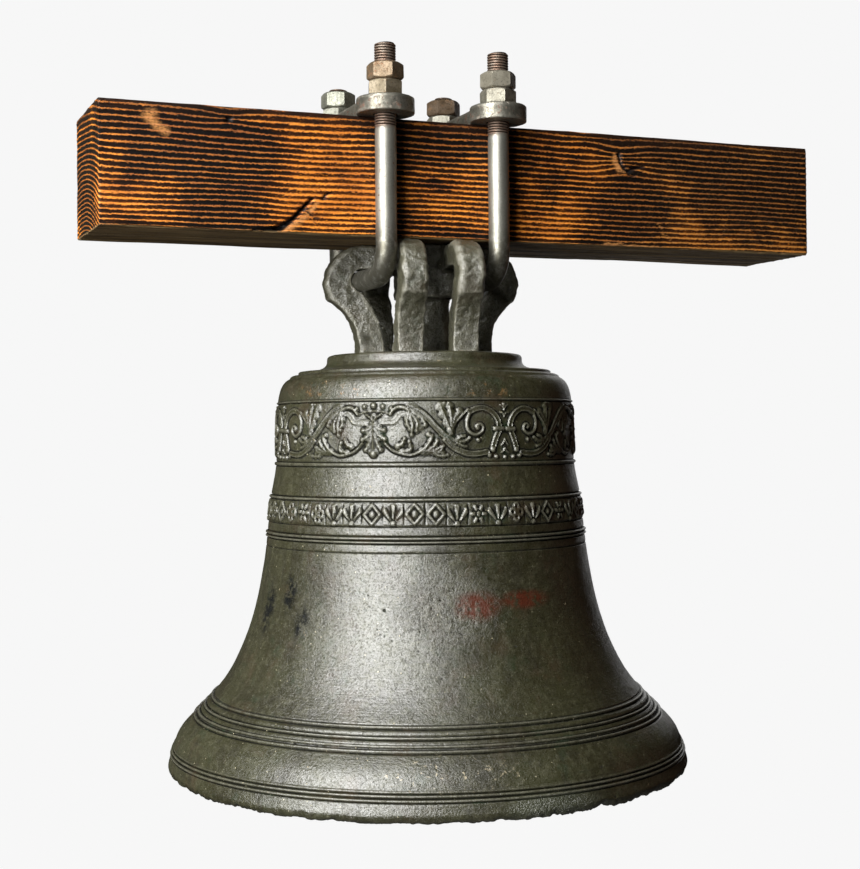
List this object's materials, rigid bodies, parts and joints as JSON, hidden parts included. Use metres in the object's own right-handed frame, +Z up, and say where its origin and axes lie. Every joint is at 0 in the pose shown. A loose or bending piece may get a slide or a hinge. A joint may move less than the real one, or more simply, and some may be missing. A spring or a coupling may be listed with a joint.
{
  "type": "church bell",
  "caption": "Cast bronze bell hung dead from a timber beam by two threaded U-bolts, with a swinging clapper inside.",
  "frame": {"origin": "on the bell's axis, in the plane of the beam's underside where the canons bear on it", "axes": "+X along the beam, +Y from the front to the rear of the beam, +Z up along the bell's axis"},
  "size_m": [0.733, 0.5, 0.7315],
  "materials": {
    "timber": "oiled and scorched softwood with dark grain, satin",
    "bronze": "old bell bronze with a dark olive-grey patina, semi-gloss",
    "rod_steel": "dull grey mild steel with rust specks",
    "plate_steel": "weathered grey flat bar with rust freckles",
    "nut_steel": "weathered zinc-grey nuts with brown rust",
    "wrought_iron": "dark forged iron with light rust",
    "strap_leather": "thick old harness leather, waxed"
  },
  "bodies": {
    "headstock": {"beam": "timber", "bell": "bronze", "canons": "bronze", "u_bolt_left": "rod_steel", "clamp_plate_left": "plate_steel", "nut_left_front": "nut_steel", "lock_nut_left_front": "nut_steel", "nut_left_rear": "nut_steel", "lock_nut_left_rear": "nut_steel", "u_bolt_right": "rod_steel", "clamp_plate_right": "plate_steel", "nut_right_front": "nut_steel", "lock_nut_right_front": "nut_steel", "nut_right_rear": "nut_steel", "lock_nut_right_rear": "nut_steel", "clapper_staple": "wrought_iron"},
    "clapper": {"clapper": "wrought_iron", "clapper_strap": "strap_leather", "strap_cheek_front": "wrought_iron", "strap_cheek_rear": "wrought_iron", "strap_bolt_upper": "nut_steel", "strap_bolt_lower": "nut_steel", "strap_nut_upper": "nut_steel", "strap_nut_lower": "nut_steel"}
  },
  "joints": [
    {"name": "clapper_swing", "type": "hinge", "parent": "headstock", "child": "clapper", "pos_m": [0, 0, -0.155], "axis": [1, 0, 0], "range_deg": [-27.4, 27.4]}
  ]
}
